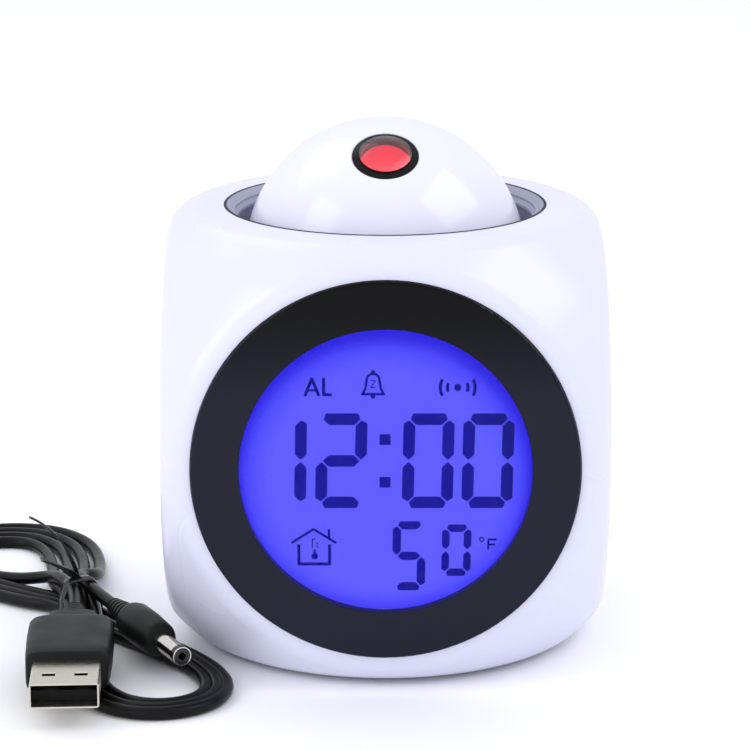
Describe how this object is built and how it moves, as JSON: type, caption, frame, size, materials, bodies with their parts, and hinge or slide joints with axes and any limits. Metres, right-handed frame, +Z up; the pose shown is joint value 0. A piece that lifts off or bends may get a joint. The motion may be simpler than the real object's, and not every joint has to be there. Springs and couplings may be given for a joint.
{
  "type": "projection alarm clock",
  "caption": "Rounded cube table clock with a round backlit display, a tilting projector ball pressed for snooze, rear controls and battery bay, and a loose USB power lead.",
  "frame": {"origin": "on the standing surface, below the middle of the cube", "axes": "+Z up, display towards -Y, +X to the viewer's right"},
  "size_m": [0.1362, 0.1158, 0.0966],
  "materials": {
    "case_white": "satin bluish white ABS",
    "bezel_slate": "gloss slate black ABS",
    "window_clear": "clear acrylic",
    "lcd_blue": "blue backlit display",
    "lcd_ink": "dark navy display marks",
    "diffuser": "milky light guide",
    "inner_plastic": "moulded natural ABS",
    "well_grey": "grey ABS",
    "ball_white": "semi-gloss white ABS",
    "dark_plastic": "gloss black ABS",
    "optic_black": "matt black ABS",
    "lens_clear": "clear polycarbonate",
    "led_red": "red epoxy",
    "led_blue": "blue light emitting diode",
    "board_green": "green solder mask",
    "chip_resin": "black epoxy resin",
    "steel": "zinc plated steel",
    "spring_steel": "spring wire",
    "nickel": "nickel plated",
    "rubber_grey": "grey rubber",
    "cell_wrap": "plain wrapped cell",
    "paper_cone": "black paper",
    "strip_rubber": "conductive elastomer",
    "cord_black": "black PVC",
    "plug_white": "white PBT"
  },
  "bodies": {
    "case": {"front_case": "case_white", "rear_cover": "case_white", "rubber_feet": "rubber_grey", "case_screws": "steel", "bezel_ring": "bezel_slate", "display_window": "window_clear", "lcd_glass": "lcd_blue", "light_guide": "diffuser", "lcd_holder": "inner_plastic", "contact_strip": "strip_rubber", "lcd_segments": "lcd_ink", "main_board": "board_green", "chip_caps": "chip_resin", "timing_crystal": "nickel", "backlight_leds": "led_blue", "inner_screws": "steel", "well_ring": "well_grey", "cradle_support": "inner_plastic", "cradle_springs": "spring_steel", "snooze_board": "board_green", "snooze_switch": "dark_plastic", "speaker_body": "steel", "speaker_cone": "paper_cone", "battery_tray": "inner_plastic", "battery_cells": "cell_wrap", "contact_plates": "nickel", "contact_springs": "spring_steel", "key_board": "board_green", "key_switches": "dark_plastic", "thermistor": "chip_resin", "jack_body": "dark_plastic", "jack_pin": "nickel", "slider_body": "dark_plastic"},
    "cradle": {"projector_cradle": "well_grey"},
    "ball": {"ball_cap": "ball_white", "ball_base": "ball_white", "ball_screws": "steel", "trunnion_pins": "inner_plastic", "lens_bezel": "dark_plastic", "projector_lens": "lens_clear", "optic_tube": "optic_black", "condenser_lens": "lens_clear", "slide_lcd": "lens_clear", "projector_board": "board_green", "projector_led": "led_red"},
    "slider": {"slider_knob": "dark_plastic"},
    "door": {"battery_door": "case_white"},
    "usb_lead": {"lead_hank": "cord_black", "usb_tail": "cord_black", "dc_tail": "cord_black", "twist_tie": "dark_plastic", "usb_plug_body": "cord_black", "usb_plug_shell": "nickel", "usb_plug_tongue": "plug_white", "dc_plug_body": "cord_black", "dc_plug_barrel": "nickel"},
    "button_mode_body": {"button_mode": "case_white"},
    "button_alarm_body": {"button_alarm": "case_white"},
    "button_up_body": {"button_up": "case_white"},
    "button_down_body": {"button_down": "case_white"}
  },
  "joints": [
    {"name": "projector_press", "type": "slide", "parent": "case", "child": "cradle", "axis": [0, 0, -1], "range_m": [0, 0.0018], "stiffness_N_per_m": 400, "springref_m": -0.003, "deforming": ["cradle_springs"]},
    {"name": "projector_tilt", "type": "hinge", "parent": "cradle", "child": "ball", "pos_m": [0, 0, 0.0706], "axis": [1, 0, 0], "range_deg": [-86, 22]},
    {"name": "switch_slide", "type": "slide", "parent": "case", "child": "slider", "axis": [1, 0, 0], "range_m": [0, 0.0025]},
    {"name": "door_off", "type": "slide", "parent": "case", "child": "door", "axis": [0, 1, 0], "range_m": [0, 0.02]},
    {"name": "lead_away", "type": "slide", "parent": "case", "child": "usb_lead", "axis": [-1, 0, 0], "range_m": [0, 0.05]},
    {"name": "button_mode_press", "type": "slide", "parent": "case", "child": "button_mode_body", "axis": [0, -1, 0], "range_m": [0, 0.0008], "stiffness_N_per_m": 400, "springref_m": -0.001},
    {"name": "button_alarm_press", "type": "slide", "parent": "case", "child": "button_alarm_body", "axis": [0, -1, 0], "range_m": [0, 0.0008], "stiffness_N_per_m": 400, "springref_m": -0.001},
    {"name": "button_up_press", "type": "slide", "parent": "case", "child": "button_up_body", "axis": [0, -1, 0], "range_m": [0, 0.0008], "stiffness_N_per_m": 400, "springref_m": -0.001},
    {"name": "button_down_press", "type": "slide", "parent": "case", "child": "button_down_body", "axis": [0, -1, 0], "range_m": [0, 0.0008], "stiffness_N_per_m": 400, "springref_m": -0.001}
  ]
}
